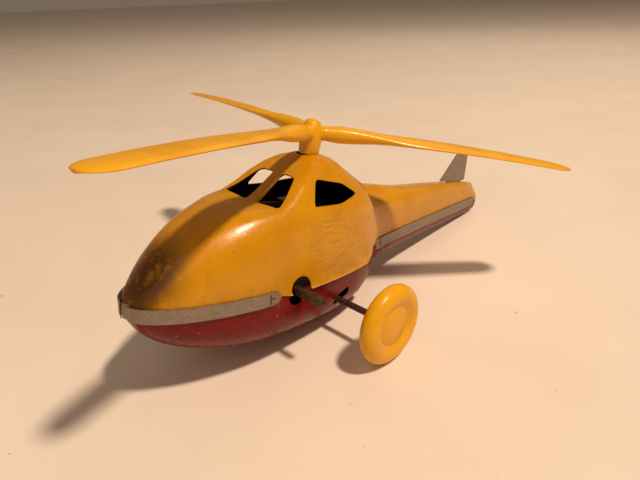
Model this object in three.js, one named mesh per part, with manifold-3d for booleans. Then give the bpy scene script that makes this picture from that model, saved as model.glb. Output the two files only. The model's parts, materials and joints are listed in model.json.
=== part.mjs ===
// A clockwork tin helicopter: two pressed shells held by tin bands, a spring motor between two
// plates, two plastic wheels on one axle and a three-bladed plastic rotor on a leaning mast.
// Millimetres. Body frame: x forward from the axle, y to port, z up from the seam of the shells.
import * as THREE from 'three';
import { mergeVertices } from 'three/addons/utils/BufferGeometryUtils.js';
import Module from 'manifold-3d';

const wasm = await Module();
wasm.setup();
const { Manifold, Mesh: SolidMesh } = wasm;

// ---------------------------------------------------------------- driving dimensions
const DEG = Math.PI / 180;
const PITCH_UP = 7.6 * DEG;        // the toy squats on its tail, nose up

const SHEET = 0.4;                           // tinplate of the shells
const NOSE_X = 63.35, CABIN_REAR_X = -21, TAIL_X = -124;
const SEAM_GAP = 0.3;                        // between the two shells
const LIP_FLARE = 1.0, LIP_DROP = 0.85;      // the hood's lip stands out over the belly
const LIP_FRONT_X = 25, LIP_REAR_X = -19;

const BAND_TALL = 4.2, BAND_SHEET = 0.35, BAND_GAP = 0.25;

const WHEEL_R = 13, WHEEL_W = 6, WHEEL_Y = 40.5;
const AXLE = { x: 0, z: -9.74, r: 1.1 };
const WINDER = { x: 19.0, z: -0.6, r: 1.5, square: 2.3, end: 29.7 };

const HUB = new THREE.Vector3(-2.71, 0, 41.8);      // where the blades' plane meets the mast
const MAST_AFT = 4.15 * DEG, MAST_PORT = 2.75 * DEG;
const MAST_R = 1.1, ROTOR_R = 92, BLADES = 3, FIRST_BLADE = 20 * DEG;
const ROOF_HOLE_R = 3.95;

const PLATE_Y = 7.6, PLATE_SHEET = 0.8;      // inner face of each motor plate, and its thickness
const PILLAR_R = 1.2;
const MODULE = 0.6;                          // tooth size of the spur gears
const TEETH = { great: 50, midPinion: 13, mid: 24, axle: 12, crown: 30, mast: 10, ratchet: 12 };
const FIT = 0.07;                            // radial play of a turning arbor
const PRESSED = 0.02;                        // radial gap drawn where a wheel is pressed on

const TIN = 0xb9b2a4, STEEL = 0x6d5a4c, BRASS = 0xb08d3f;
const YELLOW = 0xe2a21a, RED = 0x8e1714, PLASTIC = 0xe6a410;

// ---------------------------------------------------------------- small tools
const TURN = 2 * Math.PI;
const material = (color, metalness, roughness) =>
  new THREE.MeshStandardMaterial({ color, metalness, roughness });

// smooth curve value = f(at) through [at, value] pairs, without overshoot
function through(points) {
  const p = [...points].sort((a, b) => a[0] - b[0]), n = p.length;
  const rise = p.slice(1).map((q, i) => (q[1] - p[i][1]) / (q[0] - p[i][0]));
  const slope = p.map((_, i) => {
    if (i === 0) return rise[0];
    if (i === n - 1) return rise[n - 2];
    const a = rise[i - 1], b = rise[i];
    return a * b <= 0 ? 0 : 2 * a * b / (a + b);
  });
  return at => {
    if (at <= p[0][0]) return p[0][1];
    if (at >= p[n - 1][0]) return p[n - 1][1];
    let i = 0;
    while (at > p[i + 1][0]) i++;
    const h = p[i + 1][0] - p[i][0], t = (at - p[i][0]) / h;
    return (1 + 2 * t) * (1 - t) ** 2 * p[i][1] + t * (1 - t) ** 2 * h * slope[i]
      + t * t * (3 - 2 * t) * p[i + 1][1] + t * t * (t - 1) * h * slope[i + 1];
  };
}

function smoothstep(low, high, at) {
  const t = Math.min(1, Math.max(0, (at - low) / (high - low)));
  return t * t * (3 - 2 * t);
}

// shared vertices, no slivers of zero width, facing out
function weld(geometry) {
  const bare = new THREE.BufferGeometry();
  bare.setAttribute('position', geometry.getAttribute('position').clone());
  if (geometry.index) bare.setIndex(geometry.index.clone());
  const merged = mergeVertices(bare, 1e-4);
  const ix = [];
  const all = merged.index.array;
  for (let i = 0; i < all.length; i += 3) {
    const [a, b, c] = [all[i], all[i + 1], all[i + 2]];
    if (a !== b && b !== c && c !== a) ix.push(a, b, c);
  }
  if (volume(merged.getAttribute('position'), ix) < 0)
    for (let i = 0; i < ix.length; i += 3) [ix[i], ix[i + 1]] = [ix[i + 1], ix[i]];
  merged.setIndex(ix);
  return merged;
}

function volume(pos, ix) {
  let v = 0;
  const a = new THREE.Vector3(), b = new THREE.Vector3(), c = new THREE.Vector3();
  for (let i = 0; i < ix.length; i += 3) {
    a.fromBufferAttribute(pos, ix[i]);
    b.fromBufferAttribute(pos, ix[i + 1]);
    c.fromBufferAttribute(pos, ix[i + 2]);
    v += a.dot(b.cross(c)) / 6;
  }
  return v;
}

function solid(geometry) {
  const g = weld(geometry);
  const mesh = new SolidMesh({
    numProp: 3,
    vertProperties: new Float32Array(g.getAttribute('position').array),
    triVerts: new Uint32Array(g.index.array),
  });
  mesh.merge();
  return new Manifold(mesh);
}

function geometryOf(manifold) {
  const m = manifold.getMesh(), g = new THREE.BufferGeometry();
  const xyz = new Float32Array(m.numVert * 3);
  for (let i = 0; i < m.numVert; i++)
    for (let k = 0; k < 3; k++) xyz[3 * i + k] = m.vertProperties[i * m.numProp + k];
  g.setAttribute('position', new THREE.BufferAttribute(xyz, 3));
  g.setIndex([...m.triVerts]);
  return g;
}

const join = (...parts) => Manifold.union(parts);

// closed skin over rings of equal length; each end is closed by a fan
function loft(rings) {
  const n = rings[0].length, xyz = [], ix = [];
  for (const ring of rings) for (const p of ring) xyz.push(p.x, p.y, p.z);
  for (let r = 0; r + 1 < rings.length; r++)
    for (let i = 0; i < n; i++) {
      const a = r * n + i, b = r * n + (i + 1) % n, c = a + n, d = b + n;
      ix.push(a, b, d, a, d, c);
    }
  for (const [ring, base, flip] of [[rings[0], 0, true], [rings.at(-1), n * (rings.length - 1), false]]) {
    const mid = ring.reduce((s, p) => s.add(p), new THREE.Vector3()).divideScalar(n);
    const m = xyz.length / 3;
    xyz.push(mid.x, mid.y, mid.z);
    for (let i = 0; i < n; i++) {
      const a = base + i, b = base + (i + 1) % n;
      ix.push(...(flip ? [m, b, a] : [m, a, b]));
    }
  }
  const g = new THREE.BufferGeometry();
  g.setAttribute('position', new THREE.Float32BufferAttribute(xyz, 3));
  g.setIndex(ix);
  return g;
}

// flat outline in (x, z), holes likewise, thickness from y0 to y1
function slab(outline, holes, y0, y1) {
  const shape = new THREE.Shape(outline.map(([x, z]) => new THREE.Vector2(x, z)));
  for (const hole of holes)
    shape.holes.push(new THREE.Path(hole.map(([x, z]) => new THREE.Vector2(x, z))));
  const g = new THREE.ExtrudeGeometry(shape, { depth: y1 - y0, bevelEnabled: false, steps: 1 });
  return g.rotateX(Math.PI / 2).translate(0, y1, 0);
}

function circle(x, z, r, n = 20) {
  return Array.from({ length: n }, (_, i) =>
    [x + r * Math.cos(TURN * i / n), z + r * Math.sin(TURN * i / n)]);
}

// turned piece along y: profile of [radius, y] pairs from the axis to the axis
function turned(profile, x, z, segments = 20) {
  const g = new THREE.LatheGeometry(profile.map(([r, y]) => new THREE.Vector2(r, y)), segments);
  return g.translate(x, 0, z);
}

const rod = (x, z, r, y0, y1, n = 20) => turned([[0, y0], [r, y0], [r, y1], [0, y1]], x, z, n);

// corner-rounded polygon
function rounded(corners, radius, steps = 3) {
  const out = [];
  corners.forEach((corner, i) => {
    const p = new THREE.Vector2(...corner);
    const before = new THREE.Vector2(...corners.at(i - 1)).sub(p);
    const after = new THREE.Vector2(...corners[(i + 1) % corners.length]).sub(p);
    const cut = Math.min(radius, before.length() * 0.45, after.length() * 0.45);
    const a = p.clone().add(before.setLength(cut)), b = p.clone().add(after.setLength(cut));
    for (let k = 0; k <= steps; k++) {
      const t = k / steps;
      out.push([(1 - t) ** 2 * a.x + 2 * t * (1 - t) * p.x + t * t * b.x,
        (1 - t) ** 2 * a.y + 2 * t * (1 - t) * p.y + t * t * b.y]);
    }
  });
  return out;
}

// strip of sheet that follows a path of [x, z] points, laid between y0 and y1
function strip(path, thick, y0, y1) {
  const side = [[], []];
  path.forEach(([x, z], i) => {
    const [ax, az] = path[Math.max(0, i - 1)], [bx, bz] = path[Math.min(path.length - 1, i + 1)];
    const along = Math.hypot(bx - ax, bz - az);
    const nx = -(bz - az) / along * thick / 2, nz = (bx - ax) / along * thick / 2;
    side[0].push([x + nx, z + nz]);
    side[1].push([x - nx, z - nz]);
  });
  return slab([...side[0], ...side[1].reverse()], [], y0, y1);
}

// ---------------------------------------------------------------- shape of the shells
const fromNose = x => Math.sqrt(Math.max(0, NOSE_X - x));
const noseCurve = points => {
  const f = through(points.map(([x, value]) => [fromNose(x), value]));
  return x => f(fromNose(x));
};

const halfWidth = noseCurve([[NOSE_X, 0.2], [62.2, 4.6], [60, 7.2], [55, 10.9], [49, 13.9], [40, 17],
  [30, 19.1], [18, 20.1], [5, 20.2], [-6, 19.5], [-14, 18.3], [-18.5, 16.9], [CABIN_REAR_X, 15.7]]);

const crown = noseCurve([[NOSE_X, 0.5], [62.9, 2.1], [61.8, 4.2], [60, 7], [57, 11], [54, 13.8],
  [50, 16.9], [46, 19.2], [42, 21.1], [37, 22.7], [31, 23.4], [26, 23.2], [22, 22.7], [17, 26],
  [11, 30.2], [6, 33.5], [2, 35], [-3, 35.5], [-8, 34], [-12, 31.9], [-16, 29.4], [CABIN_REAR_X, 26.2]]);

const shoulderY = noseCurve([[NOSE_X, 0.15], [60, 5.3], [54, 9.3], [46, 12.4], [37, 14.9], [29, 16.5],
  [21, 17.4], [11, 17.2], [-3, 16.9], [-9, 16.4], [-15, 15.5], [CABIN_REAR_X, 14]]);
const shoulderZ = noseCurve([[NOSE_X, 0.35], [60, 4.6], [54, 8.6], [46, 13.2], [37, 16.5], [29, 18],
  [21, 19.4], [11, 21.2], [-3, 21.4], [-9, 20.6], [-15, 19.3], [CABIN_REAR_X, 17.2]]);
const roofY = noseCurve([[NOSE_X, 0.08], [60, 2.9], [54, 5.4], [46, 7.6], [37, 9.8], [29, 12.4],
  [21, 14.2], [16, 13], [11, 11.6], [5, 9.4], [-3, 7.2], [-9, 6.6], [-15, 6.8], [CABIN_REAR_X, 7.7]]);
const roofZ = noseCurve([[NOSE_X, 0.45], [60, 6.3], [54, 12.3], [46, 17.8], [37, 21.4], [29, 22.9],
  [21, 23.4], [16, 27], [11, 30.1], [5, 33.2], [-3, 34.5], [-9, 32.3], [-15, 28.3],
  [CABIN_REAR_X, 24.2]]);

const keel = noseCurve([[NOSE_X, 0.5], [62.6, 3.2], [61, 6.2], [58, 9.7], [54, 12.7], [49, 15.2],
  [42, 17.4], [34, 18.8], [24, 19.4], [10, 19.5], [-4, 19.1], [-13, 18.3], [CABIN_REAR_X, 16.6]]);
const bellySquareness = through([[-21, 3], [0, 3.2], [25, 3], [45, 2.4], [NOSE_X, 2]]);

const boomHalf = through([[-18, 15.3], [-21, 14.2], [-23, 12.9], [-26, 11.6], [-31, 10.5], [-41.5, 9.1],
  [-57, 7.5], [-75, 6], [-95, 4.4], [-117, 2.7], [TAIL_X, 2.2]]);
const boomTop = through([[-18, 24], [-21, 23.4], [-24, 22.3], [-30, 20.9], [-37, 19.7], [-57, 16.1],
  [-80, 13.9], [-100, 11.9], [-117, 9.6], [-121, 8.4], [-123.2, 6], [TAIL_X, 3.6]]);
const boomShoulder = through([[-18, 16.5], [-24, 15.2], [-37, 14.2], [-57, 13], [-80, 12],
  [-100, 10.4], [-117, 8], [-121, 6.8], [TAIL_X, 2.4]]);
const boomDepth = through([[-18, 12.4], [-24, 10.8], [-31, 9.6], [-60, 8.2], [-95, 7.1], [-117, 6.6],
  [-122, 6.2], [TAIL_X, 5.2]]);

const lipAt = x => smoothstep(LIP_FRONT_X + 2.5, LIP_FRONT_X - 2.5, x)
  * smoothstep(LIP_REAR_X - 3, LIP_REAR_X + 1, x);

// half outline (port side, seam to crown) made whole and sampled evenly
function arch(x, half, steps) {
  const full = [...half, ...half.slice(0, -1).reverse().map(([y, z]) => [-y, z])];
  const curve = new THREE.CatmullRomCurve3(full.map(([y, z]) => new THREE.Vector3(x, y, z)),
    false, 'centripetal');
  return curve.getPoints((full.length - 1) * steps);
}

// section of the hood at x, made smaller all round by inset and carried down to z = low
function hoodSection(x, inset, low) {
  const at = Math.min(NOSE_X, x + inset * 0.8);
  const in_ = (y, z) => [Math.max(0.05, y - inset), Math.max(0.1, z - inset)];
  const w = halfWidth(at), flare = LIP_FLARE * lipAt(x), z0 = SEAM_GAP / 2 - LIP_DROP * lipAt(x);
  const tall = shoulderZ(at);
  const side = t => w + (shoulderY(at) - w) * t * t;
  const half = [
    [Math.max(0.05, w + flare - inset), z0],
    [Math.max(0.05, w + flare * 0.35 - inset), z0 + Math.min(0.9, tall * 0.3)],
    [Math.max(0.05, side(0.3) - inset), z0 + Math.min(tall * 0.34, 0.3 * tall + 1)],
    [Math.max(0.05, side(0.68) - inset), Math.max(0.3, tall * 0.7)],
    in_(shoulderY(at), tall),
    in_((shoulderY(at) + roofY(at)) / 2 + 0.25, (tall + roofZ(at)) / 2 + 0.35),
    in_(roofY(at), roofZ(at)),
    [0, Math.max(0.15, crown(at) - inset)],
  ];
  const points = arch(x, half, 2);
  const [first, last] = [points[0], points.at(-1)].map(p =>
    new THREE.Vector3(x, p.y, Math.min(low, z0)));
  return [first, ...points, last];
}

function bellySection(x, inset, high) {
  const at = Math.min(NOSE_X, x + inset * 0.8);
  const w = Math.max(0.05, halfWidth(at) - inset), d = Math.max(0.1, keel(at) - inset);
  const n = bellySquareness(x), steps = 20, ring = [];
  for (let i = 0; i <= steps; i++) {
    const t = Math.PI * i / steps;
    const c = Math.abs(Math.cos(t)) ** (2 / n) * Math.sign(Math.cos(t));
    ring.push(new THREE.Vector3(x, w * c, -SEAM_GAP / 2 - d * Math.sin(t) ** (2 / n)));
  }
  const top = Math.max(high, -SEAM_GAP / 2);
  return [new THREE.Vector3(x, w, top), ...ring, new THREE.Vector3(x, -w, top)];
}

function boomHoodSection(x, inset, low) {
  const w = boomHalf(x) - inset, top = Math.max(0.8, boomTop(x) - inset);
  const shoulder = Math.min(boomShoulder(x), top - 0.3), fairing = smoothstep(-70, -24, x);
  const half = [
    [w, SEAM_GAP / 2],
    [w, shoulder * 0.4],
    [w * 0.95, shoulder * 0.78],
    [w * 0.8, shoulder + (top - shoulder) * (0.4 - 0.25 * fairing)],
    [w * (0.55 - 0.14 * fairing), top - (top - shoulder) * (0.08 + 0.4 * fairing)],
    [w * 0.27, top - 0.05 - 0.15 * fairing],
    [0, top],
  ];
  const points = arch(x, half, 2);
  const [first, last] = [points[0], points.at(-1)].map(p =>
    new THREE.Vector3(x, p.y, Math.min(low, SEAM_GAP / 2)));
  return [first, ...points, last];
}

function boomBellySection(x, inset, high) {
  const w = boomHalf(x) - inset, d = boomDepth(x) - inset, steps = 16, ring = [];
  for (let i = 0; i <= steps; i++) {
    const t = Math.PI * i / steps;
    const c = Math.abs(Math.cos(t)) ** 0.8 * Math.sign(Math.cos(t));
    ring.push(new THREE.Vector3(x, w * c, -SEAM_GAP / 2 - d * Math.sin(t) ** 0.8));
  }
  const top = Math.max(high, -SEAM_GAP / 2);
  return [new THREE.Vector3(x, w, top), ...ring, new THREE.Vector3(x, -w, top)];
}

const cabinStations = (front, rear) => {
  const out = [], n = 26, far = Math.sqrt(NOSE_X - rear), near = Math.sqrt(NOSE_X - front);
  for (let i = 0; i <= n; i++) out.push(NOSE_X - (near + (far - near) * i / n) ** 2);
  return out;
};
const boomStations = (front, rear) => {
  const out = [], n = 12;
  for (let i = 0; i <= n; i++) {
    const t = i / n;
    out.push(front + (rear - front) * (0.35 * t * t + 0.65 * Math.sin(t * Math.PI / 2) ** 1.3));
  }
  return out;
};

function sheetBody(cabinSection, boomSection, flush, beyond) {
  const outer = join(
    solid(loft(cabinStations(NOSE_X - 0.02, CABIN_REAR_X).map(x => cabinSection(x, 0, flush)))),
    solid(loft(boomStations(CABIN_REAR_X + 3, TAIL_X).map(x => boomSection(x, 0, flush)))));
  const inner = join(
    solid(loft(cabinStations(NOSE_X - SHEET, CABIN_REAR_X + SHEET)
      .map(x => cabinSection(x, SHEET, beyond)))),
    solid(loft(boomStations(CABIN_REAR_X + 2.4, TAIL_X + SHEET)
      .map(x => boomSection(x, SHEET, beyond)))));
  return outer.subtract(inner);
}

// ---------------------------------------------------------------- shells
const mastFrame = new THREE.Matrix4().makeTranslation(HUB.x, HUB.y, HUB.z)
  .multiply(new THREE.Matrix4().makeBasis(...(() => {
    const up = new THREE.Vector3(-Math.tan(MAST_AFT), Math.tan(MAST_PORT), 1).normalize();
    const ahead = new THREE.Vector3(1, 0, 0).addScaledVector(up, -up.x).normalize();
    return [ahead, new THREE.Vector3().crossVectors(up, ahead), up];
  })()));

// cylinder along the mast, with z counted from the blades' plane
function onMast(r, z0, z1, n = 24) {
  const g = new THREE.CylinderGeometry(r, r, z1 - z0, n).rotateX(Math.PI / 2);
  return g.translate(0, 0, (z0 + z1) / 2).applyMatrix4(mastFrame);
}

const WINDSCREEN = { tilt: 35 * DEG, x: 16.4, z: 26.4 };

function windscreenPane(side) {
  const pane = rounded([[-6.8, 2.1], [6.6, 2.1], [6.1, 12.9], [-6.4, 7.9]], 1.5)
    .map(([along, y]) => new THREE.Vector2(along, y * side));
  const g = new THREE.ExtrudeGeometry(new THREE.Shape(pane), { depth: 8, bevelEnabled: false });
  return g.translate(0, 0, -4).rotateY(WINDSCREEN.tilt).translate(WINDSCREEN.x, 0, WINDSCREEN.z);
}

function sidePane(side) {
  const outline = rounded([[6.9, 30.2], [10.9, 22.9], [-1, 22], [-11.8, 23.2], [-5, 27.4]], 1.5);
  return side > 0 ? slab(outline, [], 3, 30) : slab(outline, [], -30, -3);
}

function finSlit() {
  return slab([[-109.5, 2], [-94.5, 2], [-94.5, 30], [-109.5, 30]], [], -0.45, 0.45);
}

function upperShell() {
  const body = sheetBody(hoodSection, boomHoodSection, Infinity, -6);
  return geometryOf(body.subtract(join(
    solid(windscreenPane(1)), solid(windscreenPane(-1)), solid(sidePane(1)), solid(sidePane(-1)),
    solid(onMast(ROOF_HOLE_R, -14, 2)), solid(finSlit()),
    solid(rod(WINDER.x - 0.5, 0.2, 3.9, 12, 26, 28)))));
}

const PLATE_TABS = [[9, 14], [24, 28]];      // where each plate's tabs pass through the belly

function lowerShell() {
  const body = sheetBody(bellySection, boomBellySection, -Infinity, 3);
  const slot = side => solid(slab(rounded([[2.3, -11.9], [1.5, -8.1], [-4.8, -6.2], [-5.8, -9.4]],
    1.4), [], ...(side > 0 ? [12, 26] : [-26, -12])));
  const tabSlits = PLATE_TABS.flatMap(([a, b]) => [-1, 1].map(side => solid(
    slab([[a - 0.3, -30], [b + 0.3, -30], [b + 0.3, -10], [a - 0.3, -10]], [],
      ...(side > 0 ? [PLATE_Y - 0.3, PLATE_Y + PLATE_SHEET + 0.3]
        : [-PLATE_Y - PLATE_SHEET - 0.3, -PLATE_Y + 0.3])))));
  return geometryOf(body.subtract(join(slot(1), slot(-1), ...tabSlits,
    solid(rod(WINDER.x + 0.9, WINDER.z - 1.4, 2.9, 12, 26, 28)))));
}

// ---------------------------------------------------------------- bands and fin
const seamHalf = x => (x > CABIN_REAR_X ? halfWidth(x) : boomHalf(x));

// strip standing along the seam on one side, with a rounded tongue at each given end
function band(side, xs, roundFront, roundRear) {
  const off = BAND_GAP, rings = [], tall = BAND_TALL / 2;
  xs.forEach((x, i) => {
    const near = xs[Math.max(0, i - 1)], far = xs[Math.min(xs.length - 1, i + 1)];
    const slope = (seamHalf(far) - seamHalf(near)) / (far - near);
    const n = new THREE.Vector2(-slope, 1).normalize();
    const fromFront = xs[0] - x, fromRear = x - xs.at(-1);
    const taper = Math.min(roundFront ? fromFront : tall, roundRear ? fromRear : tall, tall);
    const h = tall * Math.sqrt(Math.max(0.02, 1 - (1 - taper / tall) ** 2));
    const w = seamHalf(x);
    const at = (d, z) => new THREE.Vector3(x + n.x * d, side * (w + n.y * d), z);
    rings.push([at(off, -h), at(off + BAND_SHEET, -h), at(off + BAND_SHEET, h), at(off, h)]);
  });
  return weld(loft(rings));
}

function noseBand(side) {
  const xs = [];
  for (let i = 0; i <= 24; i++) xs.push(NOSE_X - 0.05 - (0.35 + (Math.sqrt(37) - 0.35) * i / 24) ** 2);
  const end = xs.at(-1);
  xs.pop();
  return band(side, [...xs, end + 1.2, end + 0.6, end + 0.2, end].sort((a, b) => b - a), false, true);
}

function boomBand(side) {
  const xs = [];
  for (let i = 0; i <= 16; i++) xs.push(-28.6 - 91.4 * i / 16);
  return band(side, [...xs, -28.8, -29.2, -29.8].sort((a, b) => b - a), true, false);
}

function tailFin() {
  const outline = rounded([[-112, 11.4], [-88.8, 13.8], [-101.2, 25.2], [-111.6, 25.4]], 0.8);
  const tab = [[-108.8, 9.4], [-95.2, 9.4], [-95.2, 15], [-108.8, 15]];
  return geometryOf(join(solid(slab(outline, [], -0.2, 0.2)), solid(slab(tab, [], -0.2, 0.2)))
    .subtract(solid(slab([[-113, 5], [-88, 5], [-88, 13.6], [-94.9, 12.9], [-94.9, 5.1],
      [-109.1, 5.1], [-109.1, 11.2], [-113, 10.8]], [], -1, 1))));
}

// ---------------------------------------------------------------- wheels, axle, rotor
function wheel(turn) {
  const half = WHEEL_W / 2, bore = AXLE.r + PRESSED, out = [];
  out.push([0, 1.2], [bore, 1.2], [bore, -3.1], [2.7, -3.1], [3.1, -1.4], [6.6, -1.4], [9, -2.9]);
  for (let i = 0; i <= 9; i++) {
    const t = -Math.PI / 2 - 0.35 + (Math.PI + 0.7) * i / 9;
    out.push([9.7 + 3.3 * Math.cos(t), half * Math.sin(t)]);
  }
  out.push([8.2, 2.7], [6.4, 1.9], [6, 2.1], [0, 2.1]);
  return turned(out.map(([r, y]) => [r, y + WHEEL_Y]), 0, 0, 36).rotateY(turn);
}

function blade() {
  const chord = through([[0, 2.5], [5, 2.5], [8, 2.9], [14, 3], [21, 3.1], [30, 4.5], [45, 5.6],
    [65, 5.5], [84, 5]]);
  const thick = through([[0, 2.4], [5, 2.4], [8, 2.8], [14, 2.6], [21, 1.9], [30, 1.4], [50, 1.1],
    [84, 0.8]]);
  const pitch = through([[0, 0], [14, 1], [30, 5.5], [60, 4], [ROTOR_R, 4]]);
  const lift = r => Math.tan(2 * DEG) * r - 3.9 * (Math.max(0, r - 15) / 78) ** 2;
  const rings = [], n = 16, tip = 7;
  const radii = [0, 5, 9, 13, 17, 21, 26, 32, 40, 50, 62, 74, 82];
  for (let i = 0; i <= 6; i++) radii.push(ROTOR_R - tip + tip * Math.sin(Math.PI / 2 * i / 6));
  for (const r of radii) {
    const end = Math.sqrt(Math.max(0.01, 1 - Math.max(0, (r - ROTOR_R + tip) / tip) ** 2));
    const a = pitch(r) * Math.PI / 180, ring = [];
    for (let i = 0; i < n; i++) {
      const t = TURN * i / n, y = chord(Math.min(r, 84)) * end * Math.cos(t);
      const z = thick(Math.min(r, 84)) * Math.max(end, 0.5) * Math.sin(t);
      ring.push(new THREE.Vector3(r, y * Math.cos(a) - z * Math.sin(a),
        y * Math.sin(a) + z * Math.cos(a) + lift(r)));
    }
    rings.push(ring);
  }
  return loft(rings);
}

function rotor() {
  const hub = new THREE.LatheGeometry([[0, -6.8], [3.3, -6.8], [3.75, -1.2], [3.6, 1.4], [2.8, 2.4],
    [2.5, 3.4], [1.6, 4.1], [0, 4.4]].map(p => new THREE.Vector2(...p)), 32).rotateX(Math.PI / 2);
  const parts = [solid(hub)];
  for (let i = 0; i < BLADES; i++)
    parts.push(solid(blade().rotateZ(FIRST_BLADE + TURN * i / BLADES)));
  const socket = new THREE.CylinderGeometry(MAST_R + PRESSED, MAST_R + PRESSED, 9, 24)
    .rotateX(Math.PI / 2).translate(0, 0, -5);
  return geometryOf(join(...parts).subtract(solid(socket))).applyMatrix4(mastFrame);
}

// ---------------------------------------------------------------- gear train
const pitchR = teeth => teeth * MODULE / 2;

// centre of the middle arbor, from the two centre distances
const MID = (() => {
  const toWinder = pitchR(TEETH.great + TEETH.midPinion), toAxle = pitchR(TEETH.mid + TEETH.axle);
  const dx = AXLE.x - WINDER.x, dz = AXLE.z - WINDER.z, base = Math.hypot(dx, dz);
  const along = (toWinder ** 2 - toAxle ** 2 + base ** 2) / (2 * base);
  const up = Math.sqrt(toWinder ** 2 - along ** 2);
  return { x: WINDER.x + (dx * along + dz * up) / base, z: WINDER.z + (dz * along - dx * up) / base,
    r: 1.0 };
})();
const angleFrom = (a, b) => Math.atan2(b.z - a.z, b.x - a.x);

// spur gear on a y axis, with the centre of one tooth at the angle phase
function spurOutline(at, teeth, phase) {
  const step = TURN / teeth, rp = pitchR(teeth), out = [];
  const tipR = rp + 0.9 * MODULE, rootR = rp - 1.2 * MODULE;
  for (let i = 0; i < teeth; i++) {
    const mid = phase + i * step;
    for (const [r, share] of [[rootR, -0.33], [rp, -0.205], [tipR, -0.1], [tipR, 0.1], [rp, 0.205],
      [rootR, 0.33]])
      out.push([at.x + r * Math.cos(mid + share * step), at.z + r * Math.sin(mid + share * step)]);
  }
  return out;
}

const spur = (at, teeth, phase, bore, y0, y1, windows = []) =>
  slab(spurOutline(at, teeth, phase), [circle(at.x, at.z, bore), ...windows], y0, y1);

const greatPhase = angleFrom(WINDER, MID);
const midPinionPhase = angleFrom(MID, WINDER) + TURN / TEETH.midPinion / 2;
const midPhase = angleFrom(MID, AXLE);
const axlePhase = angleFrom(AXLE, MID) + TURN / TEETH.axle / 2;

const LAYER = {                              // y ranges of the pieces between the plates
  great: [-7.3, -6.3], ratchet: [-6.15, -5.35], midPinion: [-7.35, -5.9], crown: [-5.75, -4.75],
  crownTeeth: -3.76, spring: [-3, 3.8], mid: [4.7, 5.8], axlePinion: [4.4, 6.1],
};

function greatWheel() {
  const spokes = [];
  for (let i = 0; i < 4; i++) {
    const a = TURN * (i + 0.62) / 4;
    spokes.push(circle(WINDER.x + 11 * Math.cos(a), WINDER.z + 11 * Math.sin(a), 2.1, 18));
  }
  const pivot = clickPivot();
  return spur(WINDER, TEETH.great, greatPhase, WINDER.r + FIT, ...LAYER.great,
    [circle(pivot.x, pivot.z, 0.6 + PRESSED, 12), ...spokes]);
}

const polar = (at, r, a) => [at.x + r * Math.cos(a), at.z + r * Math.sin(a)];
const RATCHET = { tip: 4.6, root: 3.6, first: 0.9 };      // first: angle of one steep face

function ratchetWheel() {
  const out = [], step = TURN / TEETH.ratchet;
  for (let i = 0; i < TEETH.ratchet; i++) {
    const a = RATCHET.first + i * step;
    out.push(polar(WINDER, RATCHET.root, a - 0.02), polar(WINDER, RATCHET.tip, a),
      polar(WINDER, RATCHET.tip - 0.5, a + step / 2));
  }
  return slab(out, [circle(WINDER.x, WINDER.z, WINDER.r + PRESSED)], ...LAYER.ratchet);
}

function clickPivot() {
  const [x, z] = polar(WINDER, 7.8, RATCHET.first - 56 * DEG);
  return { x, z };
}

function click() {
  const pivot = clickPivot(), [y0, y1] = LAYER.ratchet, a = RATCHET.first;
  const lever = [polar(WINDER, 3.85, a - 4 * DEG), polar(WINDER, 4.9, a - 4 * DEG),
    polar(WINDER, 6.1, a - 20 * DEG), polar(WINDER, 8.4, a - 48 * DEG),
    polar(WINDER, 8.6, a - 60 * DEG), polar(WINDER, 6.6, a - 60 * DEG),
    polar(WINDER, 5.1, a - 34 * DEG), polar(WINDER, 4.75, a - 22 * DEG)];
  return geometryOf(join(solid(slab(lever, [], y0, y1)),
    solid(slab(circle(pivot.x, pivot.z, 1.3), [], y0, y1)))
    .subtract(solid(slab(circle(pivot.x, pivot.z, 0.6 + FIT), [], y0 - 1, y1 + 1))));
}

function clickRivet() {
  const { x, z } = clickPivot(), back = LAYER.great[0], front = LAYER.ratchet[1] + 0.08;
  return turned([[0, back], [0.6, back], [0.6, front], [1.15, front], [1.0, front + 0.4],
    [0, front + 0.4]], x, z, 20);
}

function clickSpring() {
  const a = RATCHET.first, path = [];
  for (let i = 0; i <= 10; i++) {
    const t = i / 10;
    path.push(polar(WINDER, 6.05 + 3.6 * t * t, a + (-12 + 46 * t) * DEG));
  }
  const leaf = strip(path, 0.3, LAYER.great[1] + 0.1, LAYER.ratchet[1]);
  const foot = circle(...polar(WINDER, 9.7, a + 35 * DEG), 0.9, 16);
  return geometryOf(join(solid(leaf), solid(slab(foot, [], LAYER.great[1] + 0.02, LAYER.ratchet[1]))));
}

function windingArbor() {
  const h = WINDER.square / 2, { x, z } = WINDER;
  const round = turned([[0, -9.2], [1.1, -9.2], [1.1, -7.5], [WINDER.r, -7.5], [WINDER.r, 9.4],
    [0, 9.4]], x, z, 24);
  const square = [[-h, -h], [h, -h], [h, h], [-h, h]];
  const ringAt = (y, k) => square.map(([a, b]) => new THREE.Vector3(x + a * k, y, z + b * k));
  const key = loft([ringAt(9.2, 1), ringAt(WINDER.end - 1, 1), ringAt(WINDER.end, 0.62)]);
  return geometryOf(join(solid(round), solid(key)));
}

const PILLARS = { front: [36.4, -0.6], rear: [-13, -2], top_front: [24, 17], top_rear: [-8, 12.5] };

function mainspring() {
  const turns = 6, inner = WINDER.r + 0.45, outer = 12.2, path = [];
  for (let i = 0; i <= turns * 18; i++) {
    const t = i / (turns * 18);
    path.push(polar(WINDER, inner + (outer - inner) * t ** 1.15, -TURN * turns * (1 - t)));
  }
  const [px, pz] = PILLARS.front, eye = PILLAR_R + 0.35;
  path.push([WINDER.x + 13.2, WINDER.z + 2.3], [px - 2.1, pz + 2.2]);
  for (let i = 0; i <= 9; i++) {
    const a = (125 - 265 * i / 9) * DEG;
    path.push([px + eye * Math.cos(a), pz + eye * Math.sin(a)]);
  }
  return strip(path, 0.3, ...LAYER.spring);
}

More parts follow.
